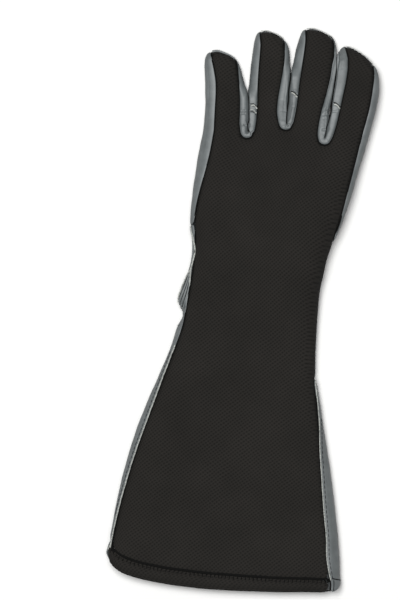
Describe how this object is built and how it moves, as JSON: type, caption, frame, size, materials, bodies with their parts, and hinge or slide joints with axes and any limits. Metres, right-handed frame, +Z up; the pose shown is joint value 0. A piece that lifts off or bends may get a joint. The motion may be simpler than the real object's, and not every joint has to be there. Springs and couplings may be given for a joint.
{
  "type": "arc flash glove",
  "caption": "Long gauntlet glove for the left hand with a knit back, a leather palm and leather strips between the fingers, lying palm down.",
  "frame": {"origin": "middle of the bounding box, on the surface that the glove lies on", "axes": "+Y to the finger tips, +X to the thumb side, +Z up from the palm to the back of the hand"},
  "size_m": [0.1726, 0.4118, 0.0354],
  "materials": {
    "black_knit": "fine knit, matt",
    "grey_leather": "smooth goatskin, soft sheen"
  },
  "bodies": {
    "root": {"back_panel": "black_knit", "back_hem": "black_knit", "palm_panel": "grey_leather", "palm_hem": "grey_leather", "gauntlet_side_strip": "grey_leather", "pinky_side_strip": "grey_leather", "index_side_strip": "grey_leather", "fourchette_pinky_ring": "grey_leather", "fourchette_ring_middle": "grey_leather", "fourchette_middle_index": "grey_leather", "thumb_back": "black_knit", "thumb_front": "grey_leather"}
  },
  "joints": []
}
